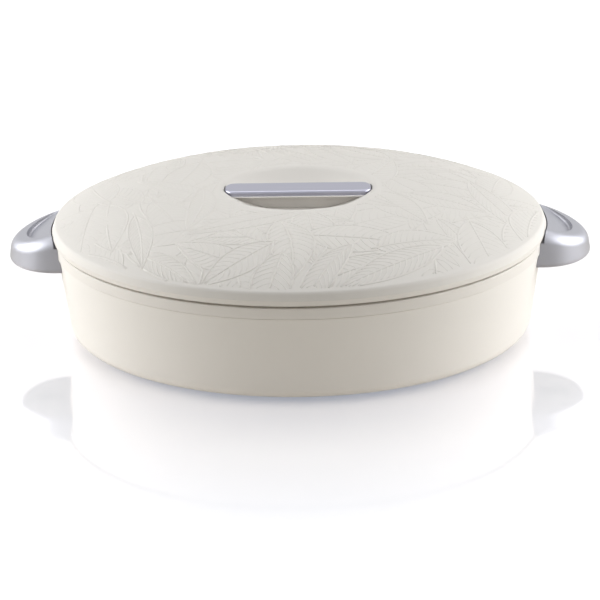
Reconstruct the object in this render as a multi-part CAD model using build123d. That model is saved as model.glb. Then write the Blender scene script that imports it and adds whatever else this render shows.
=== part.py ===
from build123d import *
import os
from math import cos, radians, sin, sqrt, tan

# Oval insulated casserole with a lift-off domed lid, in millimetres
# X runs along the length through both handles, -Y is the front, Z is up from the table

# Plan of the lid at its widest line
LID_LENGTH = 350.0
LID_WIDTH = 280.0

# Outer body: insets are measured inwards from the lid's widest line
BODY_HEIGHT = 65.7
BASE_INSET = 9.9
WALL_TOP_INSET = 2.8
BASE_RADIUS = 9.0
SHELL_WALL = 2.6
SHELL_FLOOR = 2.6
FOOT_HEIGHT = 3.0
FOOT_INSET = 34.0
FOOT_WIDTH = 5.0

# Rim ring: the plain band under the lid and the landing that carries it
RIM_BAND = 8.4
RIM_INSET = 2.0
RIM_EDGE_RADIUS = 0.8
RIM_GROOVE = 0.6
RIM_PLATE = 4.0
RIM_SPIGOT = 1.6
RIM_SPIGOT_WALL = 2.4
MOUTH_INSET = 13.5

# Stainless food bowl
LINER_STEEL = 0.8
LINER_FLANGE = 4.5
LINER_FLOOR_INSET = 21.0
LINER_FLOOR_Z = 14.5
LINER_RADIUS = 14.0

# Lid cover: skirt, widest line, leaning band, rounded edge, and a dome with a flat crown and a shoulder
SEAM_GAP = 2.2
SKIRT_INSET = 0.8
SKIRT_RISE = 3.7
LID_RISE = 27.0
DOME_RISE = 21.7
CROWN_REACH = 100.0
CROWN_RISE = 3.0
LID_EDGE_INSET = 2.0
LID_EDGE_RADIUS = 3.5
LID_WALL = 2.5

# Finger well in the middle of the lid
WELL_LENGTH = 106.0
WELL_SCOOP = 16.0
WELL_DEPTH = 13.0
WELL_EDGE_RADIUS = 8.0

# Grip bar across the well, with its bright strip and upright
BAR_LENGTH = 103.0
BAR_WIDTH = 18.2
BAR_THICKNESS = 3.4
BAR_END_RADIUS = 7.0
BAR_EDGE_RADIUS = 1.6
BAR_DROP = 0.4
TRIM_THICKNESS = 0.9
TRIM_LIP = 0.5
WEB_LENGTH = 97.0
WEB_WIDTH = 12.6
GRIP_SCREW_SPACING = 24.0
GRIP_SCREW_GRIP = 6.0

# Lid inner panel, plug and seal
PANEL_THICKNESS = 2.4
PLUG_DEPTH = 6.0
PLUG_CLEARANCE = 2.0
PLUG_DRAFT = 1.0
SEAL_WIDTH = 4.0
SEAL_HEIGHT = 3.2
SEAL_INSET = 5.6

# Ear handles
HANDLE_REACH = 32.5
HANDLE_ROOT = 4.0
HANDLE_WIDTH = 70.0
HANDLE_DROP = 9.7
HANDLE_LIFT = 16.6
HANDLE_TAPER = 10.0
HANDLE_SLOPE = 18.5
HANDLE_TOP_RADIUS = 9.5
HANDLE_BOTTOM_RADIUS = 3.0
HANDLE_WALL = 3.0
DISH_RADIUS = 24.0
DISH_SLOPE = 27.0
DISH_EDGE_RADIUS = 1.5
COVER_RIM = 4.0
COVER_LEDGE = 1.6
COVER_THICKNESS = 1.8
COVER_RECESS = 0.6
POCKET_LENGTH = 20.0
POCKET_WIDTH = 11.6
POCKET_DEPTH = 4.0
POCKET_WALL = 1.2
POCKET_SETBACK = 1.5
HANDLE_SCREW_SPACING = 32.0
HANDLE_SCREW_GRIP = 9.0

# Screws and foam plugs
SCREW_RADIUS = 1.5
SCREW_HEAD_RADIUS = 2.5
SCREW_HEAD = 1.8
BOSS_WALL = 1.5
BOSS_HEIGHT = 1.6
FOAM_PLUG_RADIUS = 8.0
FOAM_PLUG_LIP = 3.0
FOAM_PLUG_CAP = 1.2

# Clearances
LID_GAP = 0.8
SEAT_GAP = 0.3
FIT_GAP = 0.15
SCREW_GAP = 0.1
BAR_GAP = 0.4

# Places that follow from the sizes above
HALF_LENGTH = LID_LENGTH / 2
HALF_WIDTH = LID_WIDTH / 2
SHELL_FLOOR_TOP = FOOT_HEIGHT + SHELL_FLOOR
SPIGOT_LOW = BODY_HEIGHT - RIM_SPIGOT
RIM_TOP = BODY_HEIGHT + RIM_BAND
SKIRT_Z = RIM_TOP + SEAM_GAP
GIRTH_Z = SKIRT_Z + SKIRT_RISE
DOME_TOP = GIRTH_Z + LID_RISE
DOME_REACH = HALF_LENGTH - LID_EDGE_INSET
CROWN_RADIUS = (CROWN_REACH ** 2 + CROWN_RISE ** 2) / (2 * CROWN_RISE)
CROWN_CENTRE = DOME_TOP - CROWN_RADIUS
CROWN_SIN = CROWN_REACH / CROWN_RADIUS
CROWN_COS = 1 - CROWN_RISE / CROWN_RADIUS
SHOULDER_RUN = DOME_REACH - CROWN_REACH
SHOULDER_FALL = DOME_RISE - CROWN_RISE
SHOULDER_SAG = SHOULDER_FALL * CROWN_COS - SHOULDER_RUN * CROWN_SIN
SHOULDER_RADIUS = (SHOULDER_RUN ** 2 + SHOULDER_FALL ** 2) / (2 * SHOULDER_SAG)
SHOULDER_X = (CROWN_RADIUS - SHOULDER_RADIUS) * CROWN_SIN
SHOULDER_Z = CROWN_CENTRE + (CROWN_RADIUS - SHOULDER_RADIUS) * CROWN_COS
WELL_RIM = CROWN_CENTRE + sqrt(CROWN_RADIUS ** 2 - (WELL_LENGTH / 2) ** 2)
WELL_FLOOR = WELL_RIM - WELL_DEPTH
SCOOP_RADIUS = ((WELL_LENGTH / 2) ** 2 + WELL_SCOOP ** 2) / (2 * WELL_SCOOP)
SCOOP_CENTRE = WELL_RIM - WELL_SCOOP + SCOOP_RADIUS
BAR_TOP = DOME_TOP - BAR_DROP
TRIM_TOP = BAR_TOP - BAR_THICKNESS
WEB_TOP = TRIM_TOP - TRIM_THICKNESS
SEAL_LOW = RIM_TOP + SEAT_GAP
PANEL_Z = SEAL_LOW + SEAL_HEIGHT / 2
PANEL_TOP = PANEL_Z + PANEL_THICKNESS
PLUG_LOW = RIM_TOP - PLUG_DEPTH
PLUG_INSET = MOUTH_INSET + LINER_STEEL + PLUG_CLEARANCE
HANDLE_ROOT_X = HALF_LENGTH - HANDLE_ROOT
HANDLE_BOTTOM = BODY_HEIGHT - HANDLE_DROP
HANDLE_TOP = BODY_HEIGHT + HANDLE_LIFT
COVER_LOW = HANDLE_BOTTOM + COVER_RECESS
COVER_TOP = COVER_LOW + COVER_THICKNESS
HANDLE_SCREW_Z = (COVER_TOP + SPIGOT_LOW) / 2
BOSS_RADIUS = SCREW_RADIUS + BOSS_WALL
PAD_RADIUS = SCREW_HEAD_RADIUS + 2 * FIT_GAP
TALL = LID_LENGTH


def oval(inset, z):
    """Oval outline at a height, inset from the lid's widest line."""
    return Plane.XY.offset(z) * Ellipse(HALF_LENGTH - inset, HALF_WIDTH - inset)


def oval_solid(*stations):
    """Solid through ovals given as (inset, height), straight between them."""
    return loft([oval(inset, z) for inset, z in stations], ruled=True)


def oval_ring(outer_inset, inner_inset, low, high):
    """Upright oval ring between two insets."""
    return extrude(oval(outer_inset, low) - oval(inner_inset, low), high - low)


def wall_inset(z):
    """Inset of the outer wall at a height."""
    share = (z - FOOT_HEIGHT) / (BODY_HEIGHT - FOOT_HEIGHT)
    return BASE_INSET + (WALL_TOP_INSET - BASE_INSET) * share


def spigot_inset(z):
    """Inset of the outside of the rim ring's spigot at a height."""
    return wall_inset(z) + SHELL_WALL + FIT_GAP


def round_bottom(solid, radius):
    """Round the lowest edge of a solid."""
    return fillet(solid.edges().sort_by(Axis.Z)[0], radius)


def wall_solid(offset, low, high, radius):
    """Solid inside the outer wall moved inwards by an offset, with a rounded bottom edge."""
    solid = oval_solid((wall_inset(low) + offset, low), (wall_inset(high) + offset, high))
    return round_bottom(solid, radius)


def along_x(x, y, z, radius, length):
    """Cylinder along +X from a point."""
    return Plane(origin=(x, y, z), x_dir=(0, 1, 0), z_dir=(1, 0, 0)) * extrude(Circle(radius), length)


def along_z(x, y, z, radius, length):
    """Cylinder along +Z from a point."""
    return Pos(x, y, z) * extrude(Circle(radius), length)


def at_both_ends(right):
    """A right-hand shape together with its mirror image at the left end."""
    return right + mirror(right, about=Plane.YZ)


# Outer body and its foam plug

def handle_screw_places():
    """Places across the width of the two screws that hold a handle."""
    return (-HANDLE_SCREW_SPACING / 2, HANDLE_SCREW_SPACING / 2)


def boss_face():
    """Distance from the middle to the flat bosses inside the wall that carry the screw heads."""
    inset = wall_inset(HANDLE_SCREW_Z) + SHELL_WALL
    reach = sqrt(1 - (HANDLE_SCREW_SPACING / 2 / (HALF_WIDTH - inset)) ** 2)
    return (HALF_LENGTH - inset) * reach - BOSS_HEIGHT


def handle_pegs(x, radius, length):
    """Pair of cylinders on the axes of the right-hand handle's screws."""
    pegs = [along_x(x, y, HANDLE_SCREW_Z, radius, length) for y in handle_screw_places()]
    return pegs[0] + pegs[1]


def make_outer_body():
    """Drafted oval shell with a foot ring, bosses for the handle screws and a filling hole."""
    outside = wall_solid(0, FOOT_HEIGHT, BODY_HEIGHT, BASE_RADIUS)
    inside = wall_solid(SHELL_WALL, SHELL_FLOOR_TOP, BODY_HEIGHT, BASE_RADIUS - SHELL_WALL)
    inside -= at_both_ends(handle_pegs(boss_face(), PAD_RADIUS, HALF_LENGTH))
    shell = outside - inside
    shell += oval_ring(FOOT_INSET, FOOT_INSET + FOOT_WIDTH, 0, FOOT_HEIGHT)
    shell -= along_z(0, 0, 0, FOAM_PLUG_RADIUS, SHELL_FLOOR_TOP)
    shell -= at_both_ends(handle_pegs(0, SCREW_RADIUS + SCREW_GAP, HALF_LENGTH))
    return shell


def foam_plug(z, depth):
    """Headed plug that closes a foam filling hole from below, its head under a height."""
    head = along_z(0, 0, z - FOAM_PLUG_CAP, FOAM_PLUG_RADIUS + FOAM_PLUG_LIP, FOAM_PLUG_CAP)
    return head + along_z(0, 0, z, FOAM_PLUG_RADIUS - FIT_GAP, depth)


# Rim ring, food bowl and body foam

def make_rim_ring():
    """Collar band with a landing for the lid, a rebate for the bowl and a spigot in the wall."""
    spigot_inner = spigot_inset(SPIGOT_LOW) + RIM_SPIGOT_WALL
    band = oval_ring(RIM_INSET, spigot_inner, BODY_HEIGHT + RIM_GROOVE, RIM_TOP)
    plate = oval_ring(RIM_INSET, MOUTH_INSET, RIM_TOP - RIM_PLATE, RIM_TOP)
    ring = fillet((band + plate).edges().group_by(Axis.Z)[-1].sort_by(SortBy.LENGTH)[-1], RIM_EDGE_RADIUS)
    neck_inset = WALL_TOP_INSET + RIM_GROOVE
    ring += oval_ring(neck_inset, spigot_inner, BODY_HEIGHT, BODY_HEIGHT + RIM_GROOVE)
    spigot = oval_solid((spigot_inset(SPIGOT_LOW), SPIGOT_LOW), (spigot_inset(BODY_HEIGHT), BODY_HEIGHT))
    ring += spigot - extrude(oval(spigot_inner, SPIGOT_LOW), RIM_SPIGOT)
    rebate_inset = MOUTH_INSET - LINER_FLANGE - FIT_GAP
    return ring - oval_ring(rebate_inset, PLUG_INSET, RIM_TOP - LINER_STEEL, RIM_TOP)


def bowl_solid(offset, floor, radius):
    """Solid inside the bowl's outside moved inwards by an offset."""
    solid = oval_solid((LINER_FLOOR_INSET + offset, floor), (MOUTH_INSET + FIT_GAP + offset, RIM_TOP))
    return round_bottom(solid, radius)


def make_inner_liner():
    """Pressed steel bowl whose flange lies in the rim ring's rebate."""
    outside = bowl_solid(0, LINER_FLOOR_Z - LINER_STEEL, LINER_RADIUS)
    inside = bowl_solid(LINER_STEEL, LINER_FLOOR_Z, LINER_RADIUS - LINER_STEEL)
    lip = MOUTH_INSET + FIT_GAP + LINER_STEEL
    flange = oval_ring(MOUTH_INSET - LINER_FLANGE, lip, RIM_TOP - LINER_STEEL, RIM_TOP)
    return outside + flange - inside


def make_body_insulation():
    """Foam that fills the space between shell, rim ring and bowl."""
    offset = SHELL_WALL + FIT_GAP
    foam = wall_solid(offset, SHELL_FLOOR_TOP + FIT_GAP, SPIGOT_LOW - FIT_GAP, BASE_RADIUS - SHELL_WALL)
    neck_inset = spigot_inset(SPIGOT_LOW) + RIM_SPIGOT_WALL + FIT_GAP
    neck_top = RIM_TOP - RIM_PLATE - FIT_GAP
    foam += extrude(oval(neck_inset, SPIGOT_LOW - FIT_GAP), neck_top - SPIGOT_LOW + FIT_GAP)
    foam -= bowl_solid(-FIT_GAP, LINER_FLOOR_Z - LINER_STEEL - FIT_GAP, LINER_RADIUS)
    head_space = boss_face() - SCREW_HEAD - FIT_GAP
    return foam - at_both_ends(handle_pegs(head_space, PAD_RADIUS + FIT_GAP, HALF_LENGTH))


# Handles

def handle_plan(inset, z):
    """D-shaped outline of the right-hand handle at a height: a half oval with straight flanks."""
    length = HANDLE_REACH + HANDLE_ROOT
    nose = Ellipse(length - inset, HANDLE_WIDTH / 2 - inset)
    flanks = Pos(-length / 2, 0) * Rectangle(length, HANDLE_WIDTH - 2 * inset)
    return Plane.XY.offset(z) * Pos(HANDLE_ROOT_X, 0) * (nose + flanks)


def falling_plane(angle):
    """Plane that falls outwards at an angle from the handle's top over its root."""
    tilt = radians(angle)
    origin = (HANDLE_ROOT_X, 0, HANDLE_TOP)
    return Plane(origin=origin, x_dir=(cos(tilt), 0, -sin(tilt)), z_dir=(sin(tilt), 0, cos(tilt)))


def over_plane(plane):
    """Large block over a plane."""
    return plane * Pos(0, 0, TALL / 2) * Box(TALL, TALL, TALL)


def handle_seat(grow):
    """Body, rim and lid space that a handle keeps out of, grown outwards."""
    low = FOOT_HEIGHT
    wall = oval_solid((BASE_INSET - grow, low), (WALL_TOP_INSET - grow, BODY_HEIGHT))
    rim = extrude(oval(RIM_INSET - grow, BODY_HEIGHT), RIM_BAND)
    lid = extrude(oval(-LID_GAP + FIT_GAP - grow, RIM_TOP), TALL)
    return wall + rim + lid


def handle_block():
    """Drooping ear before it is fitted to the body: tapered sides, sloping top, rounded edges."""
    tall = 2 * (HANDLE_TOP - HANDLE_BOTTOM)
    narrowing = tall * tan(radians(HANDLE_TAPER))
    block = loft([handle_plan(0, HANDLE_BOTTOM), handle_plan(narrowing, HANDLE_BOTTOM + tall)], ruled=True)
    block -= over_plane(falling_plane(HANDLE_SLOPE))
    top = block.faces().sort_by(Axis.Z)[-1]
    block = fillet(top.edges().sort_by(Axis.X)[1:], HANDLE_TOP_RADIUS)
    bottom = block.faces().sort_by(Axis.Z)[0]
    return fillet(bottom.edges().sort_by(Axis.X)[1:], HANDLE_BOTTOM_RADIUS)


def handle_cavity():
    """Hollow of the handle, open below, with bosses left for the screws and a ledge for the cover."""
    tall = HANDLE_TOP - HANDLE_BOTTOM
    inset = COVER_RIM + COVER_LEDGE
    narrow = inset + tall * tan(radians(HANDLE_TAPER)) + HANDLE_TOP_RADIUS / 2
    hollow = loft([handle_plan(inset, HANDLE_BOTTOM), handle_plan(narrow, HANDLE_TOP)], ruled=True)
    hollow -= over_plane(falling_plane(DISH_SLOPE).offset(-HANDLE_WALL))
    hollow -= handle_pegs(boss_face(), BOSS_RADIUS, handle_screw_length() + BOSS_WALL)
    hollow += extrude(handle_plan(COVER_RIM, HANDLE_BOTTOM), COVER_TOP - HANDLE_BOTTOM)
    return hollow - handle_seat(FIT_GAP + HANDLE_WALL)


def make_right_handle():
    """Hollow silver ear with a dished thumb rest, fitted against the body wall."""
    dish = round_bottom(extrude(Circle(DISH_RADIUS), HANDLE_TOP), DISH_EDGE_RADIUS)
    handle = handle_block() - handle_seat(FIT_GAP) - handle_cavity() - falling_plane(DISH_SLOPE) * dish
    return handle - handle_pegs(boss_face(), SCREW_RADIUS + SCREW_GAP, handle_screw_length() + SCREW_GAP)


def make_right_handle_cover():
    """D-shaped underside panel with a moulded pocket."""
    panel = extrude(handle_plan(COVER_RIM + FIT_GAP, COVER_LOW), COVER_THICKNESS)
    seat = handle_seat(2 * FIT_GAP + HANDLE_WALL)
    start = HALF_LENGTH - wall_inset(COVER_TOP) + HANDLE_WALL + POCKET_SETBACK
    middle = Pos(start + POCKET_LENGTH / 2, 0, COVER_LOW)
    bottom = (Align.CENTER, Align.CENTER, Align.MIN)
    length = POCKET_LENGTH + 2 * POCKET_WALL
    width = POCKET_WIDTH + 2 * POCKET_WALL
    panel += middle * Box(length, width, POCKET_DEPTH + POCKET_WALL, align=bottom)
    panel -= middle * Box(POCKET_LENGTH, POCKET_WIDTH, POCKET_DEPTH, align=bottom)
    return panel - seat


def handle_screw_length():
    """Length of a handle screw under its head."""
    return BOSS_HEIGHT + SHELL_WALL + HANDLE_SCREW_GRIP


def make_right_handle_screws():
    """Two screws that hold the handle, their heads on the bosses inside the wall."""
    heads = handle_pegs(boss_face() - SCREW_HEAD, SCREW_HEAD_RADIUS, SCREW_HEAD)
    return heads + handle_pegs(boss_face(), SCREW_RADIUS, handle_screw_length())


# Lid cover and foam

def crown_point(reach, offset):
    """Point on the crown's arc at a distance from the axis, moved into the wall by an offset."""
    return (reach, CROWN_CENTRE + sqrt((CROWN_RADIUS - offset) ** 2 - reach ** 2))


def shoulder_point(reach, offset):
    """Point on the shoulder's arc at a distance from the axis, moved into the wall by an offset."""
    return (reach, SHOULDER_Z + sqrt((SHOULDER_RADIUS - offset) ** 2 - (reach - SHOULDER_X) ** 2))


def scoop_point(reach, offset):
    """Point on the well's arc at a distance from the axis, moved into the wall by an offset."""
    return (reach, SCOOP_CENTRE - sqrt((SCOOP_RADIUS + offset) ** 2 - reach ** 2))


def scoop_reach(z, offset):
    """Distance from the axis of the well's arc at a height, moved into the wall by an offset."""
    return sqrt((SCOOP_RADIUS + offset) ** 2 - (SCOOP_CENTRE - z) ** 2)


def well_rim_reach(offset):
    """Distance from the axis at which the crown and the well meet, both moved into the wall."""
    apart = SCOOP_CENTRE - CROWN_CENTRE
    rise = (apart ** 2 + (CROWN_RADIUS - offset) ** 2 - (SCOOP_RADIUS + offset) ** 2) / (2 * apart)
    return sqrt((CROWN_RADIUS - offset) ** 2 - rise ** 2)


def round_corner(face, corner, radius):
    """Round the corner of a flat outline nearest to a point."""
    return fillet(face.vertices().sort_by_distance(corner)[0], radius)


def squeezed_turn(profile):
    """Solid turned about the upright axis from a half outline, then squeezed to the lid's oval."""
    return scale(revolve(Plane.YZ * profile, Axis.Z), by=(1, LID_WIDTH / LID_LENGTH, 1))


def lid_form(offset, low):
    """Domed lid with its well, from a height up, its outside moved into the wall by an offset."""
    skirt = HALF_LENGTH - SKIRT_INSET * (GIRTH_Z - low) / SKIRT_RISE - offset
    girth = HALF_LENGTH - offset
    rim = well_rim_reach(offset)
    floor_z = WELL_FLOOR - offset
    floor = scoop_reach(floor_z, offset)
    edge = DOME_REACH - offset
    brow = (CROWN_RADIUS - offset) * CROWN_SIN
    edge_point = shoulder_point(edge, offset)
    brow_point = crown_point(brow, offset)
    rim_point = crown_point(rim, offset)
    shoulder = ThreePointArc(edge_point, shoulder_point((edge + brow) / 2, offset), brow_point)
    crown = ThreePointArc(brow_point, crown_point((brow + rim) / 2, offset), rim_point)
    scoop = ThreePointArc(rim_point, scoop_point((rim + floor) / 2, offset), (floor, floor_z))
    wall = Polyline((0, floor_z), (0, low), (skirt, low), (girth, GIRTH_Z), edge_point)
    outline = make_face([wall, shoulder, crown, scoop, Line((floor, floor_z), (0, floor_z))])
    outline = round_corner(outline, edge_point, LID_EDGE_RADIUS - offset)
    return squeezed_turn(round_corner(outline, rim_point, WELL_EDGE_RADIUS - offset))


def well_form(offset):
    """Space inside the finger well up to the grip's strip, kept off the well by an offset."""
    floor_z = WELL_FLOOR + offset
    floor = scoop_reach(floor_z, -offset)
    top = scoop_reach(WEB_TOP, -offset)
    scoop = ThreePointArc((floor, floor_z), scoop_point((floor + top) / 2, -offset), (top, WEB_TOP))
    middle = Polyline((top, WEB_TOP), (0, WEB_TOP), (0, floor_z), (floor, floor_z))
    return squeezed_turn(make_face([scoop, middle]))


def bar_plan(grow):
    """Outline of the grip bar, grown outwards."""
    return RectangleRounded(BAR_LENGTH + 2 * grow, BAR_WIDTH + 2 * grow, BAR_END_RADIUS + grow)


def bar_space(grow):
    """Space over the grip's underside that the lid leaves open for the bar, grown outwards."""
    return Pos(0, 0, WEB_TOP - FIT_GAP - grow) * extrude(bar_plan(TRIM_LIP + BAR_GAP + grow), DOME_TOP)


def grip_pegs(z, radius, length):
    """Pair of cylinders on the axes of the grip's screws."""
    left = along_z(-GRIP_SCREW_SPACING / 2, 0, z, radius, length)
    return left + along_z(GRIP_SCREW_SPACING / 2, 0, z, radius, length)


def make_lid_cover():
    """Domed cover with a skirt, a finger well and a slot for the ends of the bar."""
    hollow = lid_form(LID_WALL, SKIRT_Z) - bar_space(LID_WALL)
    cover = lid_form(0, SKIRT_Z) - hollow - bar_space(0)
    return cover - grip_pegs(SKIRT_Z, SCREW_RADIUS + SCREW_GAP, WELL_FLOOR)


def make_lid_insulation():
    """Foam that fills the lid between its cover and inner panel."""
    gap = LID_WALL + FIT_GAP
    low = PANEL_TOP + FIT_GAP
    foam = lid_form(gap, low) + plug_solid(PANEL_THICKNESS + FIT_GAP, low) - bar_space(gap)
    head_low = WELL_FLOOR - LID_WALL - SCREW_HEAD - FIT_GAP
    return foam - grip_pegs(head_low, SCREW_HEAD_RADIUS + FIT_GAP, WELL_SCOOP)


# Lid inner panel, plug and seal

def plug_solid(offset, high):
    """Solid inside the lid's plug moved inwards by an offset, up to a height."""
    return oval_solid((PLUG_INSET + PLUG_DRAFT + offset, PLUG_LOW + offset), (PLUG_INSET + offset, high))


def seal_ring(grow, low, high):
    """Sealing ring between two heights, widened on both sides."""
    return oval_ring(SEAL_INSET - grow, SEAL_INSET + SEAL_WIDTH + grow, low, high)


def make_lid_liner():
    """Inner panel with a flange inside the skirt, a seal groove and a plug that enters the mouth."""
    rim_inset = SKIRT_INSET + LID_WALL + FIT_GAP
    panel = extrude(oval(rim_inset, PANEL_Z), PANEL_THICKNESS) + plug_solid(0, PANEL_TOP)
    panel -= plug_solid(PANEL_THICKNESS, PANEL_TOP)
    panel -= seal_ring(FIT_GAP, PANEL_Z, SEAL_LOW + SEAL_HEIGHT)
    return panel - along_z(0, 0, PLUG_LOW, FOAM_PLUG_RADIUS, PANEL_THICKNESS)


def make_lid_seal():
    """Soft ring in the panel's groove that closes on the rim ring."""
    return seal_ring(0, SEAL_LOW, SEAL_LOW + SEAL_HEIGHT)


# Grip

def make_grip_bar():
    """Bar across the well with rounded upper edges."""
    bar = Pos(0, 0, TRIM_TOP) * extrude(bar_plan(0), BAR_THICKNESS)
    return fillet(bar.faces().sort_by(Axis.Z)[-1].edges(), BAR_EDGE_RADIUS)


def make_grip_trim():
    """Bright strip under the bar, a little wider than the bar."""
    return Pos(0, 0, WEB_TOP) * extrude(bar_plan(TRIM_LIP), TRIM_THICKNESS)


def make_grip_web():
    """Upright between the well's floor and the strip, its ends fitted to the well."""
    plan = RectangleRounded(WEB_LENGTH, WEB_WIDTH, WEB_WIDTH / 3)
    web = well_form(FIT_GAP) & Pos(0, 0, WELL_FLOOR) * extrude(plan, WEB_TOP)
    return web - grip_pegs(WELL_FLOOR, SCREW_RADIUS + SCREW_GAP, GRIP_SCREW_GRIP + SCREW_GAP)


def make_grip_screws():
    """Two screws from inside the lid into the upright."""
    under = WELL_FLOOR - LID_WALL
    heads = grip_pegs(under - SCREW_HEAD, SCREW_HEAD_RADIUS, SCREW_HEAD)
    return heads + grip_pegs(under, SCREW_RADIUS, LID_WALL + GRIP_SCREW_GRIP)


def make_parts():
    """All pieces by name, at rest with the lid on."""
    parts = {
        "outer_body": make_outer_body(),
        "body_foam_plug": foam_plug(FOOT_HEIGHT, SHELL_FLOOR),
        "rim_ring": make_rim_ring(),
        "inner_liner": make_inner_liner(),
        "body_insulation": make_body_insulation(),
        "lid_cover": make_lid_cover(),
        "lid_insulation": make_lid_insulation(),
        "lid_liner": make_lid_liner(),
        "lid_foam_plug": foam_plug(PLUG_LOW, PANEL_THICKNESS),
        "lid_seal": make_lid_seal(),
        "grip_bar": make_grip_bar(),
        "grip_trim": make_grip_trim(),
        "grip_web": make_grip_web(),
        "grip_screws": make_grip_screws(),
    }
    right_pieces = {
        "handle": make_right_handle(),
        "handle_cover": make_right_handle_cover(),
        "handle_screws": make_right_handle_screws(),
    }
    for name, piece in right_pieces.items():
        parts["right_" + name] = piece
        parts["left_" + name] = mirror(piece, about=Plane.YZ)
    return parts


os.makedirs("parts", exist_ok=True)
for name, piece in make_parts().items():
    export_step(piece, "parts/" + name + ".step")
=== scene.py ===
"""Looks of an oval insulated food container: finishes, leaf relief on the lid, and a white studio.

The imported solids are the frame. Every length here is in metres, in the same frame:
X runs through both handles, -Y is the front and Z is up from the table.
"""

import logging
import math
import random
from dataclasses import dataclass, field
from enum import Enum
from typing import Callable, ClassVar, Dict, Iterator, List, Tuple, Union

import bmesh
import bpy
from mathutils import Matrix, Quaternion, Vector


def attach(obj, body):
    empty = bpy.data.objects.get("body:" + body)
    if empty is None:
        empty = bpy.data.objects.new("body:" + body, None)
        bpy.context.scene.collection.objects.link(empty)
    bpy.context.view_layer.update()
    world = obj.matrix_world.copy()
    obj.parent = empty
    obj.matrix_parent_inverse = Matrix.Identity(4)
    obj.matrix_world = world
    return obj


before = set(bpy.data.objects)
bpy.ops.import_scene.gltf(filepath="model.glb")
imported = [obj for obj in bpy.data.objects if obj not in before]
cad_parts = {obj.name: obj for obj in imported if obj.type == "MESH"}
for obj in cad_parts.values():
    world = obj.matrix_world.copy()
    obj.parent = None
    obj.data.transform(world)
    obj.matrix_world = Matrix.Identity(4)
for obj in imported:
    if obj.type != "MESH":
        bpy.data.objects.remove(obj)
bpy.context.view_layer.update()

log = logging.getLogger("food_container")

Colour = Tuple[float, float, float]
Point = Tuple[float, float, float]
Spot = Tuple[float, float]


class BodyName(Enum):
    """Rigid bodies of the frame that added pieces ride on."""

    LID = "lid"


@dataclass(frozen=True)
class CoatLayer:
    """Metal content and clear layer of a coat."""

    metallic: float = 0.0
    weight: float = 0.0
    roughness: float = 0.03


class Coat(Enum):
    """How a moulded surface is finished."""

    SATIN = CoatLayer()
    GLOSS = CoatLayer(weight=0.5, roughness=0.12)
    METALLIC = CoatLayer(metallic=0.9, weight=0.25, roughness=0.25)


# Shader helpers

# Places of a Mix node's sockets, because its data types share their names
MIX_FACTOR = 0
FLOAT_A, FLOAT_B, FLOAT_RESULT = 2, 3, 0
COLOUR_A, COLOUR_B, COLOUR_RESULT = 6, 7, 2


class NodeBench:
    """Places nodes in one node tree, column by column, and links them."""

    COLUMN_WIDTH: ClassVar[int] = 190

    def __init__(self, tree: bpy.types.NodeTree) -> None:
        """Take an empty node tree to work on."""
        self.tree = tree
        self.column = 0

    def add(self, kind: str, **settings: object) -> bpy.types.Node:
        """Add a node and set its properties and unlinked inputs.

        Args:
            kind: Blender's node type name.
            **settings: a property by its name, or an input socket by its name in lower case.

        Returns:
            The new node.
        """
        node = self.tree.nodes.new(kind)
        node.location = (self.column * self.COLUMN_WIDTH, 0)
        self.column += 1
        sockets = {socket.name.lower().replace(" ", "_"): socket
                   for socket in reversed(node.inputs)}
        for name, value in settings.items():
            if name in sockets:
                sockets[name].default_value = value
            else:
                setattr(node, name, value)
        return node

    def link(self, source: bpy.types.NodeSocket, target: bpy.types.NodeSocket) -> None:
        """Link an output to an input."""
        self.tree.links.new(source, target)


def blank_material(name: str) -> Tuple[bpy.types.Material, NodeBench]:
    """Make a material with an empty node tree.

    Args:
        name: the material's name.

    Returns:
        The material and a bench on its tree.
    """
    material = bpy.data.materials.new(name)
    material.use_nodes = True
    material.node_tree.nodes.clear()
    return material, NodeBench(material.node_tree)


GroupParts = Tuple[bpy.types.ShaderNodeTree, NodeBench, bpy.types.Node, bpy.types.Node]


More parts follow.
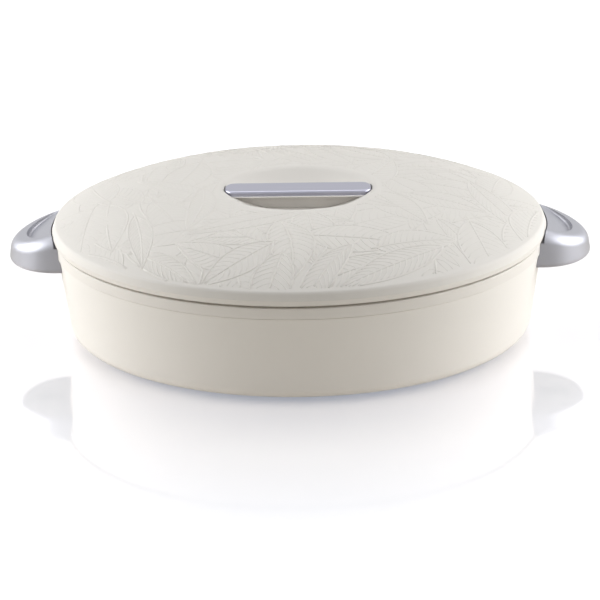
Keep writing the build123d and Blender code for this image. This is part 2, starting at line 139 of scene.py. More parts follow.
class EffectGroups:
    """Shader node groups that several finishes share, each built once."""

    NOISE_MIDDLE: ClassVar[float] = 0.5
    SMEAR_RATIO: ClassVar[float] = 4.3

    def __init__(self) -> None:
        """Start with no group built."""
        self._built: Dict[str, bpy.types.ShaderNodeTree] = {}

    def get(self, name: str,
            build: Callable[[str], bpy.types.ShaderNodeTree]) -> bpy.types.ShaderNodeTree:
        """Return a group by name, building it the first time.

        Args:
            name: the group's name.
            build: the function that builds it.

        Returns:
            The node group.
        """
        if name not in self._built:
            self._built[name] = build(name)
        return self._built[name]

    @staticmethod
    def new_group(name: str, inputs: Dict[str, Tuple[str, object]],
                  outputs: Dict[str, str]) -> GroupParts:
        """Make an empty group with named sockets.

        Args:
            name: the group's name.
            inputs: socket name to its type and default value.
            outputs: socket name to its type.

        Returns:
            The tree, a bench on it, its input node and its output node.
        """
        tree = bpy.data.node_groups.new(name, "ShaderNodeTree")
        for socket, (kind, value) in inputs.items():
            made = tree.interface.new_socket(socket, in_out="INPUT", socket_type=kind)
            made.default_value = value
        for socket, kind in outputs.items():
            tree.interface.new_socket(socket, in_out="OUTPUT", socket_type=kind)
        bench = NodeBench(tree)
        return tree, bench, bench.add("NodeGroupInput"), bench.add("NodeGroupOutput")

    def mottle(self) -> bpy.types.ShaderNodeTree:
        """Slow colour and gloss drift of a moulding, as colour and roughness."""
        return self.get("Moulding drift", self._build_mottle)

    def grain(self) -> bpy.types.ShaderNodeTree:
        """Fine moulded grain with a slight ripple, as a bump height."""
        return self.get("Moulded grain", self._build_grain)

    def streaks(self) -> bpy.types.ShaderNodeTree:
        """Fine lines along one direction, as a mask and a height."""
        return self.get("Brushed lines", self._build_streaks)

    def _build_mottle(self, name: str) -> bpy.types.ShaderNodeTree:
        """Build the drift group: two noises shift a colour's value and a roughness a little.

        Args:
            name: the group's name.

        Returns:
            The node group.
        """
        tree, bench, entry, exit_ = self.new_group(
            name,
            {
                "Color": ("NodeSocketColor", (0.8, 0.8, 0.8, 1.0)),
                "Scale": ("NodeSocketFloat", 20.0),
                "Depth": ("NodeSocketFloat", 0.03),
                "Roughness": ("NodeSocketFloat", 0.4),
                "Spread": ("NodeSocketFloat", 0.06),
            },
            {"Color": "NodeSocketColor", "Roughness": "NodeSocketFloat"},
        )
        place = bench.add("ShaderNodeTexCoord")
        cloud = bench.add("ShaderNodeTexNoise", detail=3.0, roughness=0.55)
        smear = bench.add("ShaderNodeTexNoise", detail=5.0, roughness=0.65, distortion=0.4)
        finer = bench.add("ShaderNodeMath", operation="MULTIPLY")
        finer.inputs[1].default_value = self.SMEAR_RATIO
        shift = bench.add("ShaderNodeMath", operation="SUBTRACT")
        shift.inputs[1].default_value = self.NOISE_MIDDLE
        amount = bench.add("ShaderNodeMath", operation="MULTIPLY_ADD")
        amount.inputs[2].default_value = 1.0
        tone = bench.add("ShaderNodeHueSaturation")
        rough_shift = bench.add("ShaderNodeMath", operation="SUBTRACT")
        rough_shift.inputs[1].default_value = self.NOISE_MIDDLE
        rough = bench.add("ShaderNodeMath", operation="MULTIPLY_ADD", use_clamp=True)
        bench.link(place.outputs["Object"], cloud.inputs["Vector"])
        bench.link(place.outputs["Object"], smear.inputs["Vector"])
        bench.link(entry.outputs["Scale"], cloud.inputs["Scale"])
        bench.link(entry.outputs["Scale"], finer.inputs[0])
        bench.link(finer.outputs[0], smear.inputs["Scale"])
        bench.link(cloud.outputs["Fac"], shift.inputs[0])
        bench.link(shift.outputs[0], amount.inputs[0])
        bench.link(entry.outputs["Depth"], amount.inputs[1])
        bench.link(amount.outputs[0], tone.inputs["Value"])
        bench.link(entry.outputs["Color"], tone.inputs["Color"])
        bench.link(smear.outputs["Fac"], rough_shift.inputs[0])
        bench.link(rough_shift.outputs[0], rough.inputs[0])
        bench.link(entry.outputs["Spread"], rough.inputs[1])
        bench.link(entry.outputs["Roughness"], rough.inputs[2])
        bench.link(tone.outputs["Color"], exit_.inputs["Color"])
        bench.link(rough.outputs[0], exit_.inputs["Roughness"])
        return tree

    def _build_grain(self, name: str) -> bpy.types.ShaderNodeTree:
        """Build the grain group: fine noise over a slow ripple.

        Args:
            name: the group's name.

        Returns:
            The node group.
        """
        tree, bench, entry, exit_ = self.new_group(
            name,
            {
                "Fine": ("NodeSocketFloat", 900.0),
                "Ripple": ("NodeSocketFloat", 14.0),
                "Balance": ("NodeSocketFloat", 0.3),
            },
            {"Height": "NodeSocketFloat"},
        )
        place = bench.add("ShaderNodeTexCoord")
        fine = bench.add("ShaderNodeTexNoise", detail=2.0, roughness=0.6)
        ripple = bench.add("ShaderNodeTexNoise", detail=1.0, roughness=0.4)
        blend = bench.add("ShaderNodeMix", data_type="FLOAT")
        bench.link(place.outputs["Object"], fine.inputs["Vector"])
        bench.link(place.outputs["Object"], ripple.inputs["Vector"])
        bench.link(entry.outputs["Fine"], fine.inputs["Scale"])
        bench.link(entry.outputs["Ripple"], ripple.inputs["Scale"])
        bench.link(entry.outputs["Balance"], blend.inputs[MIX_FACTOR])
        bench.link(fine.outputs["Fac"], blend.inputs[FLOAT_A])
        bench.link(ripple.outputs["Fac"], blend.inputs[FLOAT_B])
        bench.link(blend.outputs[FLOAT_RESULT], exit_.inputs["Height"])
        return tree

    def _build_streaks(self, name: str) -> bpy.types.ShaderNodeTree:
        """Build the lines group: noise stretched along one direction.

        Args:
            name: the group's name.

        Returns:
            The node group.
        """
        tree, bench, entry, exit_ = self.new_group(
            name,
            {
                "Stretch": ("NodeSocketVector", (8.0, 900.0, 900.0)),
                "Contrast": ("NodeSocketFloat", 1.0),
            },
            {"Mask": "NodeSocketFloat", "Height": "NodeSocketFloat"},
        )
        place = bench.add("ShaderNodeTexCoord")
        stretch = bench.add("ShaderNodeVectorMath", operation="MULTIPLY")
        lines = bench.add("ShaderNodeTexNoise", scale=1.0, detail=4.0, roughness=0.7)
        spread = bench.add("ShaderNodeMath", operation="MULTIPLY", use_clamp=True)
        bench.link(place.outputs["Object"], stretch.inputs[0])
        bench.link(entry.outputs["Stretch"], stretch.inputs[1])
        bench.link(stretch.outputs[0], lines.inputs["Vector"])
        bench.link(lines.outputs["Fac"], spread.inputs[0])
        bench.link(entry.outputs["Contrast"], spread.inputs[1])
        bench.link(spread.outputs[0], exit_.inputs["Mask"])
        bench.link(lines.outputs["Fac"], exit_.inputs["Height"])
        return tree


EFFECTS = EffectGroups()


@dataclass(frozen=True)
class MouldedFinish:
    """A moulded plastic, coated or bare, with slow drift and fine grain."""

    name: str
    colour: Colour
    roughness: float
    coat: Coat = Coat.SATIN
    gloss: float = 0.5
    drift_scale: float = 16.0
    drift_depth: float = 0.03
    gloss_spread: float = 0.06
    grain_scale: float = 1100.0
    grain_balance: float = 0.25
    grain_height: float = 0.00002

    def build(self) -> bpy.types.Material:
        """Build the material.

        Returns:
            The material.
        """
        material, bench = blank_material(self.name)
        drift = bench.add("ShaderNodeGroup", node_tree=EFFECTS.mottle())
        drift.inputs["Color"].default_value = (*self.colour, 1.0)
        drift.inputs["Scale"].default_value = self.drift_scale
        drift.inputs["Depth"].default_value = self.drift_depth
        drift.inputs["Roughness"].default_value = self.roughness
        drift.inputs["Spread"].default_value = self.gloss_spread
        grain = bench.add("ShaderNodeGroup", node_tree=EFFECTS.grain())
        grain.inputs["Fine"].default_value = self.grain_scale
        grain.inputs["Balance"].default_value = self.grain_balance
        bump = bench.add("ShaderNodeBump", strength=1.0, distance=self.grain_height)
        layer = self.coat.value
        shader = bench.add("ShaderNodeBsdfPrincipled", specular_ior_level=self.gloss,
                           metallic=layer.metallic, coat_weight=layer.weight,
                           coat_roughness=layer.roughness)
        out = bench.add("ShaderNodeOutputMaterial")
        bench.link(drift.outputs["Color"], shader.inputs["Base Color"])
        bench.link(drift.outputs["Roughness"], shader.inputs["Roughness"])
        bench.link(grain.outputs["Height"], bump.inputs["Height"])
        bench.link(bump.outputs["Normal"], shader.inputs["Normal"])
        bench.link(shader.outputs["BSDF"], out.inputs["Surface"])
        return material


@dataclass(frozen=True)
class LinedMetalFinish:
    """A metal with fine lines along one direction and a little tone change between them."""

    name: str
    colour: Colour
    roughness: float
    stretch: Tuple[float, float, float] = (8.0, 700.0, 700.0)
    line_height: float = 0.00001
    gloss_spread: float = 0.12
    drift_depth: float = 0.05

    def build(self) -> bpy.types.Material:
        """Build the material.

        Returns:
            The material.
        """
        material, bench = blank_material(self.name)
        lines = bench.add("ShaderNodeGroup", node_tree=EFFECTS.streaks())
        lines.inputs["Stretch"].default_value = self.stretch
        drift = bench.add("ShaderNodeGroup", node_tree=EFFECTS.mottle())
        drift.inputs["Color"].default_value = (*self.colour, 1.0)
        drift.inputs["Depth"].default_value = self.drift_depth
        rough = bench.add("ShaderNodeMapRange", to_min=self.roughness,
                          to_max=self.roughness + self.gloss_spread)
        bump = bench.add("ShaderNodeBump", strength=1.0, distance=self.line_height)
        shader = bench.add("ShaderNodeBsdfPrincipled", metallic=1.0)
        out = bench.add("ShaderNodeOutputMaterial")
        bench.link(drift.outputs["Color"], shader.inputs["Base Color"])
        bench.link(lines.outputs["Mask"], rough.inputs["Value"])
        bench.link(rough.outputs["Result"], shader.inputs["Roughness"])
        bench.link(lines.outputs["Height"], bump.inputs["Height"])
        bench.link(bump.outputs["Normal"], shader.inputs["Normal"])
        bench.link(shader.outputs["BSDF"], out.inputs["Surface"])
        return material


Finish = Union[MouldedFinish, LinedMetalFinish]

IVORY = MouldedFinish("Ivory satin moulding", (0.795, 0.762, 0.71), 0.5, gloss=0.2)
# The body's ivory is lighter and a little warmer than the lid's: painted light for the brighter
# light the body gets from below, with a slightly different moulding tone.
LIT_BODY_IVORY = MouldedFinish("Ivory body moulding", (0.822, 0.793, 0.743), 0.5, gloss=0.2)
# The relief lines are the lid's ivory made a little darker: painted shade along the moulded lines.
SHADED_RELIEF_IVORY = MouldedFinish("Ivory lines with painted shade", (0.778, 0.745, 0.693), 0.5, gloss=0.2)
INNER_IVORY = MouldedFinish("Ivory inner panel", (0.76, 0.73, 0.68), 0.34, Coat.GLOSS)
FOAM = MouldedFinish("Rigid foam", (0.78, 0.66, 0.38), 0.9,
                     grain_scale=420.0, grain_height=0.0002, drift_depth=0.12)
PLUG = MouldedFinish("Plug plastic", (0.7, 0.67, 0.62), 0.5)
# The seal's dark tan is partly its own colour and partly painted shade: it deepens and browns the
# shadow gap at the lid's seam.
SHADED_SEAL = MouldedFinish("Dark tan seal with painted shade", (0.32, 0.245, 0.175), 0.62, grain_height=0.00003)
SILVER = MouldedFinish("Satin silver coating", (0.368, 0.369, 0.402), 0.44, Coat.METALLIC,
                       grain_scale=2600.0, grain_height=0.000006, drift_depth=0.04)
SILVER_BAR = MouldedFinish("Satin silver bar", (0.36, 0.36, 0.43), 0.3, Coat.METALLIC,
                           grain_scale=2600.0, grain_height=0.000006, drift_depth=0.03)
# The web under the bar is the ivory darkened to grey beige: painted shade beneath the bar.
SHADED_UPRIGHT = MouldedFinish("Upright ivory with painted shade", (0.66, 0.63, 0.59), 0.45)
COVER_GREY = MouldedFinish("Grained grey underside", (0.33, 0.335, 0.35), 0.6,
                           grain_scale=800.0, grain_height=0.00006)
BOWL_STEEL = LinedMetalFinish("Polished bowl steel", (0.66, 0.66, 0.67), 0.16)
BRIGHT_TRIM = LinedMetalFinish("Bright plated strip", (0.86, 0.86, 0.87), 0.06,
                               line_height=0.000002, gloss_spread=0.05)
SCREW_STEEL = LinedMetalFinish("Plated screw steel", (0.56, 0.56, 0.58), 0.3)


class FinishRack:
    """Builds each finish once and dresses objects with it."""

    def __init__(self) -> None:
        """Start with no material built."""
        self._built: Dict[str, bpy.types.Material] = {}

    def get(self, finish: Finish) -> bpy.types.Material:
        """Return a finish's material, building it the first time.

        Args:
            finish: the finish.

        Returns:
            The material.
        """
        if finish.name not in self._built:
            self._built[finish.name] = finish.build()
        return self._built[finish.name]

    def dress(self, piece: bpy.types.Object, finish: Finish) -> None:
        """Give a piece one finish all over."""
        piece.data.materials.clear()
        piece.data.materials.append(self.get(finish))


NODE_FINISHES: Dict[str, Finish] = {
    "outer_body": LIT_BODY_IVORY,
    "rim_ring": IVORY,
    "lid_cover": IVORY,
    "lid_liner": INNER_IVORY,
    "inner_liner": BOWL_STEEL,
    "body_insulation": FOAM,
    "lid_insulation": FOAM,
    "body_foam_plug": PLUG,
    "lid_foam_plug": PLUG,
    "lid_seal": SHADED_SEAL,
    "left_handle": SILVER,
    "right_handle": SILVER,
    "left_handle_cover": COVER_GREY,
    "right_handle_cover": COVER_GREY,
    "grip_bar": SILVER_BAR,
    "grip_trim": BRIGHT_TRIM,
    "grip_web": SHADED_UPRIGHT,
    "left_handle_screws": SCREW_STEEL,
    "right_handle_screws": SCREW_STEEL,
    "grip_screws": SCREW_STEEL,
}


def dress_nodes(rack: FinishRack) -> None:
    """Dress every node of the frame with its finish.

    Args:
        rack: the finishes.
    """
    for name, finish in NODE_FINISHES.items():
        rack.dress(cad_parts[name], finish)
        log.info("dressed %s with %s", name, finish.name)


# Leaf relief on the lid


class LeafKind(Enum):
    """Shapes of leaf in the relief."""

    BROAD = "broad"
    LANCE = "lance"
    FROND = "frond"


class LineKind(Enum):
    """Heavy and light lines of a leaf."""

    RIB = "rib"
    VEIN = "vein"


@dataclass(frozen=True)
class Ridge:
    """Cross-section of a moulded line."""

    width: float
    proud: float
    sunk: float = 0.00028
    bevel: float = 0.00026


@dataclass(frozen=True)
class LeafShape:
    """Lengths, slimness, number of veins and frequency of one kind of leaf."""

    shortest: float
    longest: float
    slimness: float
    veins: int
    weight: int


LEAF_SHAPES: Dict[LeafKind, LeafShape] = {
    LeafKind.BROAD: LeafShape(0.056, 0.078, 0.43, 11, 7),
    LeafKind.LANCE: LeafShape(0.064, 0.090, 0.24, 14, 3),
    LeafKind.FROND: LeafShape(0.058, 0.080, 0.46, 7, 1),
}


@dataclass(frozen=True)
class VeinPattern:
    """How side veins leave the midrib, in shares of the leaf's length, and how far they reach."""

    first: float = 0.07
    span: float = 0.78
    sweep: float = 0.07
    curl: float = 0.08
    reach: float = 0.97


@dataclass(frozen=True)
class LeafletPattern:
    """How a frond's leaflets leave its midrib, in shares of its length, and how full they are."""

    first: float = 0.08
    span: float = 0.8
    shortest: float = 0.05
    taper: float = 0.16
    taper_end: float = 1.1
    spread: float = 0.3
    belly: float = 0.85


VEINS = VeinPattern()
LEAFLETS = LeafletPattern()


@dataclass(frozen=True)
class Leaf:
    """One leaf of the relief, drawn in plan from its foot to its tip."""

    RIB_STEPS: ClassVar[int] = 40
    STEM_STEPS: ClassVar[int] = 3
    EDGE_STEPS: ClassVar[int] = 60
    VEIN_STEPS: ClassVar[int] = 12
    BELLY: ClassVar[float] = 0.82
    FULLNESS: ClassVar[float] = 0.92

    kind: LeafKind
    foot: Spot
    angle: float
    length: float
    width: float
    bow: float
    veins: int

    def half_width(self, share: float) -> float:
        """Half the leaf's width at a share of its length."""
        along = min(max(share, 0.0), 1.0)
        return self.width / 2 * math.sin(math.pi * along ** self.BELLY) ** self.FULLNESS

    def bowed(self, share: float) -> float:
        """How far the midrib bows to one side at a share of the leaf's length."""
        return self.bow * self.length * 4 * share * (1 - share)

    def spot(self, share: float, across: float) -> Spot:
        """Place a point of the leaf in plan.

        Args:
            share: how far along the leaf it is, from 0 at the foot to 1 at the tip.
            across: its distance from the midrib.

        Returns:
            The point in plan.
        """
        along = share * self.length
        side = across + self.bowed(share)
        turn_x, turn_y = math.cos(self.angle), math.sin(self.angle)
        return (self.foot[0] + along * turn_x - side * turn_y,
                self.foot[1] + along * turn_y + side * turn_x)

    def covers(self, spot: Spot) -> bool:
        """Tell whether the leaf lies over a point in plan.

        Args:
            spot: the point.

        Returns:
            True where it does.
        """
        away_x, away_y = spot[0] - self.foot[0], spot[1] - self.foot[1]
        turn_x, turn_y = math.cos(self.angle), math.sin(self.angle)
        share = (away_x * turn_x + away_y * turn_y) / self.length
        if not 0.0 < share < 1.0:
            return False
        side = away_y * turn_x - away_x * turn_y - self.bowed(share)
        return abs(side) < self.half_width(share)

    def lines(self, kind: LineKind) -> Iterator[List[Spot]]:
        """Draw the leaf's lines of one kind, each as a row of points in plan.

        Args:
            kind: ribs for the midrib and outline, or veins.

        Returns:
            The rows of points.
        """
        if kind is LineKind.RIB:
            yield [self.spot(step / self.RIB_STEPS, 0.0)
                   for step in range(-self.STEM_STEPS, self.RIB_STEPS)]
        for side in (-1.0, 1.0):
            if kind is LineKind.VEIN:
                is_frond = self.kind is LeafKind.FROND
                yield from self.leaflets(side) if is_frond else self.side_veins(side)
            elif self.kind is not LeafKind.FROND:
                shares = [step / self.EDGE_STEPS for step in range(self.EDGE_STEPS + 1)]
                yield [self.spot(share, side * self.half_width(share)) for share in shares]

    def side_veins(self, side: float) -> Iterator[List[Spot]]:
        """Draw the veins on one side of the midrib, swept towards the tip.

        Args:
            side: -1 or 1.

        Returns:
            The rows of points.
        """
        for vein in range(self.veins):
            start = VEINS.first + VEINS.span * vein / (self.veins - 1)
            row = []
            for step in range(self.VEIN_STEPS + 1):
                part = step / self.VEIN_STEPS
                share = start + (VEINS.sweep + VEINS.curl * part) * part
                row.append(self.spot(share, side * self.half_width(share) * VEINS.reach * part))
            yield row

    def leaflets(self, side: float) -> Iterator[List[Spot]]:
        """Draw the pointed leaflets on one side of a frond.

        Args:
            side: -1 or 1.

        Returns:
            The rows of points.
        """
        spread = LEAFLETS.spread / self.veins
        for number in range(self.veins):
            start = LEAFLETS.first + LEAFLETS.span * number / (self.veins - 1)
            reach = LEAFLETS.taper * (LEAFLETS.taper_end - start) + LEAFLETS.shortest
            for edge in (-1.0, 1.0):
                row = []
                for step in range(self.VEIN_STEPS + 1):
                    part = step / self.VEIN_STEPS
                    swell = math.sin(math.pi * part ** LEAFLETS.belly)
                    share = start + reach * part + edge * spread * swell
                    across = self.half_width(start + reach * part) * part
                    row.append(self.spot(share, side * across))
                yield row


@dataclass
class LeafRelief:
    """Low moulded lines of overlapping leaves all over the lid's dome, clear of the finger well."""

    UPWARD: ClassVar[float] = 0.5
    FEWEST_POINTS: ClassVar[int] = 3

    seed: int = 41
    spacing: float = 0.0305
    row_pitch: float = 0.86
    jitter: float = 0.3
    clear_reach: float = 0.03
    widest_turn: float = 100.0
    widths: Tuple[float, float] = (0.9, 1.12)
    most_bow: float = 0.07
    ridges: Dict[LineKind, Ridge] = field(default_factory=lambda: {
        LineKind.RIB: Ridge(0.0013, 0.00032),
        LineKind.VEIN: Ridge(0.0009, 0.00017),
    })
    step: float = 0.0042
    dome_reach: float = 0.173
    dome_rise: float = 0.0217
    dome_top: float = 0.107
    crown_reach: float = 0.1
    crown_rise: float = 0.003
    squeeze: float = 0.8
    inner_reach: float = 0.0588
    outer_reach: float = 0.1696
    low_width: float = 0.04
    full_width: float = 0.085
    low_share: float = 0.36
    end_fall: float = 0.3

    def dome_height(self, x: float, y: float) -> float:
        """Height of the lid's dome, a flat crown with a rounder shoulder, over a point in plan.

        Args:
            x: the point's place along the lid.
            y: the point's place across the lid.

        Returns:
            The height of the dome there.
        """
        reach = math.hypot(x, y / self.squeeze)
        crown = (self.crown_reach ** 2 + self.crown_rise ** 2) / (2 * self.crown_rise)
        centre = self.dome_top - crown
        if reach < self.crown_reach:
            return centre + math.sqrt(crown ** 2 - reach ** 2)
        lean_x, lean_z = self.crown_reach / crown, 1 - self.crown_rise / crown
        run, fall = self.dome_reach - self.crown_reach, self.dome_rise - self.crown_rise
        shoulder = (run ** 2 + fall ** 2) / (2 * (fall * lean_z - run * lean_x))
        apart = crown - shoulder
        return centre + apart * lean_z + math.sqrt(shoulder ** 2 - (reach - apart * lean_x) ** 2)

    def stand(self, x: float, y: float) -> float:
        """Share of their full height that the lines have, less on the middle and towards the ends.

        Args:
            x: the point's place along the lid.
            y: the point's place across the lid.

        Returns:
            The share.
        """
        width = abs(y) - self.end_fall * abs(x)
        part = min(max((width - self.low_width) / (self.full_width - self.low_width), 0.0), 1.0)
        return self.low_share + (1 - self.low_share) * part * part * (3 - 2 * part)

    def on_dome(self, spot: Spot) -> bool:
        """Whether a point in plan is on the dome, between the well and the edge."""
        return self.inner_reach < math.hypot(spot[0], spot[1] / self.squeeze) < self.outer_reach

    def layout(self) -> List[Leaf]:
        """Lay the leaves out over the dome, the first one lowest.

        Returns:
            The leaves in the order in which they lie.
        """
        dice = random.Random(self.seed)
        leaves: List[Leaf] = []
        columns = int(self.dome_reach / self.spacing) + 1
        for row in range(-columns, columns + 1):
            for column in range(-columns, columns + 1):
                shift_x = dice.uniform(-self.jitter, self.jitter)
                shift_y = dice.uniform(-self.jitter, self.jitter)
                x = (column + 0.5 * (row % 2) + shift_x) * self.spacing
                y = (row * self.row_pitch + shift_y) * self.spacing
                if self.clear_reach < math.hypot(x, y / self.squeeze) < self.dome_reach:
                    leaves.append(self.pick_leaf(dice, (x, y)))
        dice.shuffle(leaves)
        return leaves

    def pick_leaf(self, dice: random.Random, middle: Spot) -> Leaf:
        """Pick a leaf's shape and turn.

        Args:
            dice: the source of the choices.
            middle: where the middle of the leaf lies in plan.

        Returns:
            The leaf.
        """
        weights = [shape.weight for shape in LEAF_SHAPES.values()]
        kind = dice.choices(list(LEAF_SHAPES), weights)[0]
        shape = LEAF_SHAPES[kind]
        length = dice.uniform(shape.shortest, shape.longest)
        turn = math.radians(dice.uniform(-self.widest_turn, self.widest_turn))
        angle = math.atan2(middle[1], middle[0]) + turn
        foot = (middle[0] - length / 2 * math.cos(angle), middle[1] - length / 2 * math.sin(angle))
        width = length * shape.slimness * dice.uniform(*self.widths)
        bow = dice.uniform(-self.most_bow, self.most_bow)
        return Leaf(kind, foot, angle, length, width, bow, shape.veins)

    def visible_lines(self, leaves: List[Leaf], kind: LineKind) -> Iterator[List[Spot]]:
        """Find the stretches of the leaves' lines that no higher leaf covers.

        Args:
            leaves: the leaves in the order in which they lie.
            kind: ribs or veins.

        Returns:
            The stretches, each as a row of points in plan.
        """
        for order, leaf in enumerate(leaves):
            middle = leaf.spot(0.5, 0.0)
            higher = [other for other in leaves[order + 1:]
                      if math.dist(other.spot(0.5, 0.0), middle) < other.length + leaf.length]
            for line in leaf.lines(kind):
                stretch: List[Spot] = []
                for spot in line:
                    if self.on_dome(spot) and not any(other.covers(spot) for other in higher):
                        stretch.append(spot)
                        continue
                    yield from self.thinned(stretch)
                    stretch = []
                yield from self.thinned(stretch)

    def thinned(self, stretch: List[Spot]) -> Iterator[List[Spot]]:
        """Give a stretch with fewer points along it, unless it is too short to be seen.

        Args:
            stretch: a row of points in plan.

        Returns:
            The thinned row, or none.
        """
        if len(stretch) < self.FEWEST_POINTS:
            return
        kept, last = [stretch[0]], stretch[-1]
        for spot in stretch[1:-1]:
            if math.dist(spot, kept[-1]) > self.step and math.dist(spot, last) > self.step / 2:
                kept.append(spot)
        kept.append(last)
        if math.dist(kept[0], last) > self.step / 3:
            yield kept

    def raise_lines(self, lines: Iterator[List[Spot]], ridge: Ridge) -> bpy.types.Mesh:
        """Raise lines off the dome as ridges with bevelled crests.

        Args:
            lines: rows of points in plan.
            ridge: the ridges' cross-section.

        Returns:
            A mesh of closed ridges, their feet sunk in the dome.
        """
        form = bmesh.new()
        for line in lines:
            row = [form.verts.new((x, y, -ridge.sunk)) for x, y in line]
            for start, end in zip(row, row[1:]):
                form.edges.new((start, end))
        raised = bmesh.ops.extrude_edge_only(form, edges=form.edges[:])["geom"]
        tops = [item for item in raised if isinstance(item, bmesh.types.BMVert)]
        bmesh.ops.translate(form, verts=tops, vec=(0.0, 0.0, ridge.sunk + ridge.proud))
        form.normal_update()
        bmesh.ops.solidify(form, geom=form.faces[:], thickness=ridge.width)
        bmesh.ops.recalc_face_normals(form, faces=form.faces[:])
        form.normal_update()
        crests = []
        for edge in form.edges:
            upward = sorted(face.normal.z > self.UPWARD for face in edge.link_faces)
            if upward == [False, True]:
                crests.append(edge)
        bmesh.ops.bevel(form, geom=crests, offset=ridge.bevel, affect="EDGES",
                        segments=1, profile=0.5, material=-1)
        for vert in form.verts:
            if vert.co.z > 0.0:
                vert.co.z *= self.stand(vert.co.x, vert.co.y)
            vert.co.z += self.dome_height(vert.co.x, vert.co.y)
        mesh = bpy.data.meshes.new("ridges")
        form.to_mesh(mesh)
        form.free()
        return mesh

    def build(self, rack: FinishRack) -> bpy.types.Object:
        """Raise all the lines off the dome and dress them in an ivory a little darker than the
        lid's, painted shade along the lines.

        Args:
            rack: the finishes.

        Returns:
            The relief.
        """
        leaves = self.layout()
        form = bmesh.new()
        for kind, ridge in self.ridges.items():
            ridges = self.raise_lines(self.visible_lines(leaves, kind), ridge)
            form.from_mesh(ridges)
            bpy.data.meshes.remove(ridges)
        for face in form.faces:
            face.smooth = True
        mesh = bpy.data.meshes.new("leaf_relief")
        form.to_mesh(mesh)
        form.free()
        relief = bpy.data.objects.new("leaf_relief", mesh)
        bpy.context.scene.collection.objects.link(relief)
        rack.dress(relief, SHADED_RELIEF_IVORY)
        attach(relief, BodyName.LID.value)
        log.info("leaf relief: %d leaves, %d faces", len(leaves), len(mesh.polygons))
        return relief


# Studio

SIDE_WHITE: Colour = (0.957, 0.975, 1.0)


@dataclass
class SoftBox:
    """A large soft lamp that faces the container."""

    name: str
    place: Point
    width: float
    height: float
    power: float
    colour: Colour = (1.0, 1.0, 1.0)

    def build(self, aim: Vector) -> bpy.types.Object:
        """Make the lamp and turn it to a point.

        Args:
            aim: the point that it faces.

        Returns:
            The lamp.
        """
        lamp = bpy.data.lights.new(self.name, "AREA")
        lamp.shape = "RECTANGLE"
        lamp.size = self.width
        lamp.size_y = self.height
        lamp.energy = self.power
        lamp.color = self.colour
        box = bpy.data.objects.new(self.name, lamp)
        box.location = self.place
        box.rotation_euler = (aim - Vector(self.place)).to_track_quat("-Z", "Y").to_euler()
        bpy.context.scene.collection.objects.link(box)
        return box


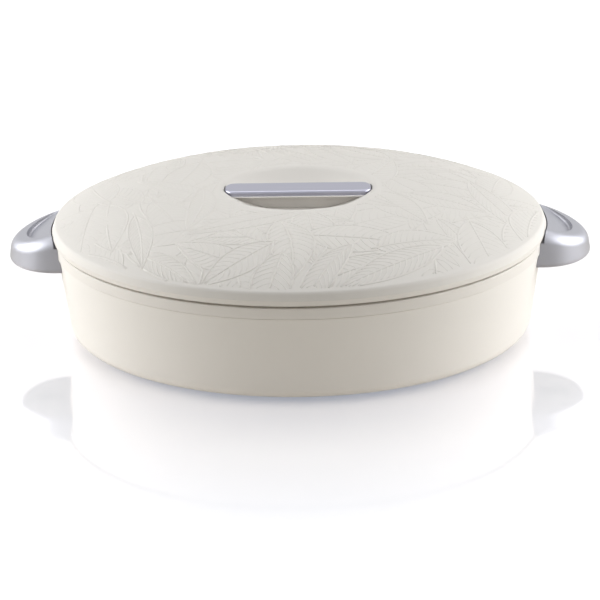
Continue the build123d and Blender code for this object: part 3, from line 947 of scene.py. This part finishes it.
@dataclass
class Studio:
    """White table and surround, soft boxes at both sides and above, and the camera."""

    aim: Point = (-0.00027, 0.0, 0.01907)
    distance: float = 1.5
    turn: float = 1.27
    elevation: float = 23.95
    roll: float = -1.18
    focal_pixels: float = 2076.8
    image_pixels: float = 600.0
    sensor: float = 36.0
    surround: float = 0.02
    under_light: float = 0.5
    under_fade: float = 0.1
    table_size: float = 6.0
    table_hole: Spot = (0.1405, 0.1055)
    hole_steps: int = 96
    table_colour: Colour = (0.695, 0.65, 0.57)
    table_roughness: float = 0.55
    # Glow seen by the camera: lower and bluer near the container, a painted lavender shade round
    # it, and full white far away.
    table_lift: float = 0.58
    far_lift: float = 0.9
    painted_shade_tint: Colour = (0.755, 0.83, 1.0)
    lift_near: float = 0.30
    lift_far: float = 0.90
    mirror_colour: Colour = (0.96, 0.91, 0.9)
    mirror_roughness: float = 0.06
    mirror_share: float = 0.36
    mirror_near: float = 0.15
    mirror_far: float = 0.38
    mirror_squeeze: float = 0.8
    boxes: List[SoftBox] = field(default_factory=lambda: [
        SoftBox("Left soft box", (-1.0, -0.04, 0.46), 1.2, 0.7, 11.9, SIDE_WHITE),
        SoftBox("Right soft box", (1.0, -0.04, 0.46), 1.2, 0.7, 11.9, SIDE_WHITE),
        SoftBox("Top soft box", (0.0, 0.5, 1.55), 1.6, 0.8, 9.2),
    ])

    def build(self) -> None:
        """Build the camera, lamps, surround and table."""
        self.place_camera()
        for box in self.boxes:
            box.build(Vector(self.aim))
        self.light_surround()
        self.lay_table()

    def place_camera(self) -> bpy.types.Object:
        """Put the camera where the photograph was taken from.

        Returns:
            The camera.
        """
        turn, tilt = math.radians(self.turn), math.radians(self.elevation)
        back = Vector((math.sin(turn) * math.cos(tilt), -math.cos(turn) * math.cos(tilt),
                       math.sin(tilt)))
        data = bpy.data.cameras.new("Camera")
        data.sensor_width = self.sensor
        data.lens = self.focal_pixels / self.image_pixels * self.sensor
        camera = bpy.data.objects.new("Camera", data)
        camera.location = Vector(self.aim) + back * self.distance
        camera.rotation_mode = "QUATERNION"
        level = (-back).to_track_quat("-Z", "Y")
        rolled = Quaternion((0.0, 0.0, 1.0), math.radians(self.roll))
        camera.rotation_quaternion = level @ rolled
        bpy.context.scene.collection.objects.link(camera)
        bpy.context.scene.camera = camera
        return camera

    def light_surround(self) -> None:
        """Make the surround white to the eye and to reflections, with a low light from below."""
        world = bpy.data.worlds.new("White surround")
        bpy.context.scene.world = world
        world.use_nodes = True
        world.node_tree.nodes.clear()
        bench = NodeBench(world.node_tree)
        heading = bench.add("ShaderNodeTexCoord")
        split = bench.add("ShaderNodeSeparateXYZ")
        ambient = bench.add("ShaderNodeMapRange", from_min=-self.under_fade, from_max=0.0,
                            to_min=self.under_light, to_max=self.surround)
        ray = bench.add("ShaderNodeLightPath")
        seen = bench.add("ShaderNodeMath", operation="MAXIMUM")
        clear = bench.add("ShaderNodeMath", operation="MAXIMUM")
        level = bench.add("ShaderNodeMapRange", to_max=1.0)
        white = bench.add("ShaderNodeBackground", color=(1.0, 1.0, 1.0, 1.0))
        out = bench.add("ShaderNodeOutputWorld")
        bench.link(heading.outputs["Generated"], split.inputs["Vector"])
        bench.link(split.outputs["Z"], ambient.inputs["Value"])
        bench.link(ambient.outputs["Result"], level.inputs["To Min"])
        bench.link(ray.outputs["Is Camera Ray"], seen.inputs[0])
        bench.link(ray.outputs["Is Glossy Ray"], seen.inputs[1])
        bench.link(seen.outputs[0], clear.inputs[0])
        bench.link(ray.outputs["Is Transmission Ray"], clear.inputs[1])
        bench.link(clear.outputs[0], level.inputs["Value"])
        bench.link(level.outputs["Result"], white.inputs["Strength"])
        bench.link(white.outputs["Background"], out.inputs["Surface"])

    def lay_table(self) -> bpy.types.Object:
        """Lay a large polished white table under the container, open inside the foot ring.

        Returns:
            The table.
        """
        mesh = bpy.data.meshes.new("Table")
        form = bmesh.new()
        hole_x, hole_y = self.table_hole
        hole = bmesh.ops.create_circle(form, cap_ends=False, segments=self.hole_steps, radius=1.0)
        bmesh.ops.scale(form, vec=(hole_x, hole_y, 1.0), verts=hole["verts"])
        spread = bmesh.ops.extrude_edge_only(form, edges=form.edges[:])["geom"]
        outer = [item for item in spread if isinstance(item, bmesh.types.BMVert)]
        widen = (self.table_size / hole_x, self.table_size / hole_y, 1.0)
        bmesh.ops.scale(form, vec=widen, verts=outer)
        form.normal_update()
        turned = [face for face in form.faces if face.normal.z < 0.0]
        bmesh.ops.reverse_faces(form, faces=turned)
        form.to_mesh(mesh)
        form.free()
        table = bpy.data.objects.new("Table", mesh)
        bpy.context.scene.collection.objects.link(table)
        table.data.materials.append(self.table_material())
        return table

    def table_material(self) -> bpy.types.Material:
        """Build a white table that mirrors the container close to it, with painted lavender shade
        round it, and is clear from below.

        Returns:
            The material.
        """
        material, bench = blank_material("Polished white table")
        place = bench.add("ShaderNodeTexCoord")
        oval = bench.add("ShaderNodeMapping", scale=(self.mirror_squeeze, 1.0, 1.0))
        away = bench.add("ShaderNodeVectorMath", operation="LENGTH")
        share = bench.add("ShaderNodeMapRange", interpolation_type="SMOOTHSTEP",
                          from_min=self.mirror_near, from_max=self.mirror_far,
                          to_min=self.mirror_share, to_max=0.0)
        ray = bench.add("ShaderNodeLightPath")
        # The camera-only glow is weaker and tinted lavender near the container: painted shade.
        far = bench.add("ShaderNodeMapRange", from_min=self.lift_near, from_max=self.lift_far)
        level = bench.add("ShaderNodeMapRange", to_min=self.table_lift, to_max=self.far_lift)
        tint = bench.add("ShaderNodeMix", data_type="RGBA")
        tint.inputs[COLOUR_A].default_value = (*self.painted_shade_tint, 1.0)
        tint.inputs[COLOUR_B].default_value = (1.0, 1.0, 1.0, 1.0)
        lift = bench.add("ShaderNodeMath", operation="MULTIPLY")
        matt = bench.add("ShaderNodeBsdfPrincipled", base_color=(*self.table_colour, 1.0),
                         roughness=self.table_roughness)
        glow = bench.add("ShaderNodeEmission")
        white = bench.add("ShaderNodeAddShader")
        mirror = bench.add("ShaderNodeBsdfGlossy", color=(*self.mirror_colour, 1.0),
                           roughness=self.mirror_roughness)
        both = bench.add("ShaderNodeMixShader")
        face = bench.add("ShaderNodeNewGeometry")
        clear = bench.add("ShaderNodeBsdfTransparent")
        sided = bench.add("ShaderNodeMixShader")
        out = bench.add("ShaderNodeOutputMaterial")
        bench.link(place.outputs["Object"], oval.inputs["Vector"])
        bench.link(oval.outputs["Vector"], away.inputs[0])
        bench.link(away.outputs["Value"], share.inputs["Value"])
        bench.link(away.outputs["Value"], far.inputs["Value"])
        bench.link(far.outputs["Result"], level.inputs["Value"])
        bench.link(far.outputs["Result"], tint.inputs[MIX_FACTOR])
        bench.link(tint.outputs[COLOUR_RESULT], glow.inputs["Color"])
        bench.link(ray.outputs["Is Camera Ray"], lift.inputs[0])
        bench.link(level.outputs["Result"], lift.inputs[1])
        bench.link(lift.outputs[0], glow.inputs["Strength"])
        bench.link(matt.outputs["BSDF"], white.inputs[0])
        bench.link(glow.outputs["Emission"], white.inputs[1])
        bench.link(share.outputs["Result"], both.inputs["Fac"])
        bench.link(white.outputs[0], both.inputs[1])
        bench.link(mirror.outputs["BSDF"], both.inputs[2])
        bench.link(face.outputs["Backfacing"], sided.inputs["Fac"])
        bench.link(both.outputs[0], sided.inputs[1])
        bench.link(clear.outputs["BSDF"], sided.inputs[2])
        bench.link(sided.outputs[0], out.inputs["Surface"])
        return material


def main() -> None:
    """Dress the frame, build the added pieces and the studio."""
    logging.basicConfig(level=logging.INFO, format="%(name)s: %(message)s")
    bpy.context.scene.view_settings.view_transform = "Standard"
    rack = FinishRack()
    dress_nodes(rack)
    LeafRelief().build(rack)
    Studio().build()


if __name__ == "__main__":
    main()
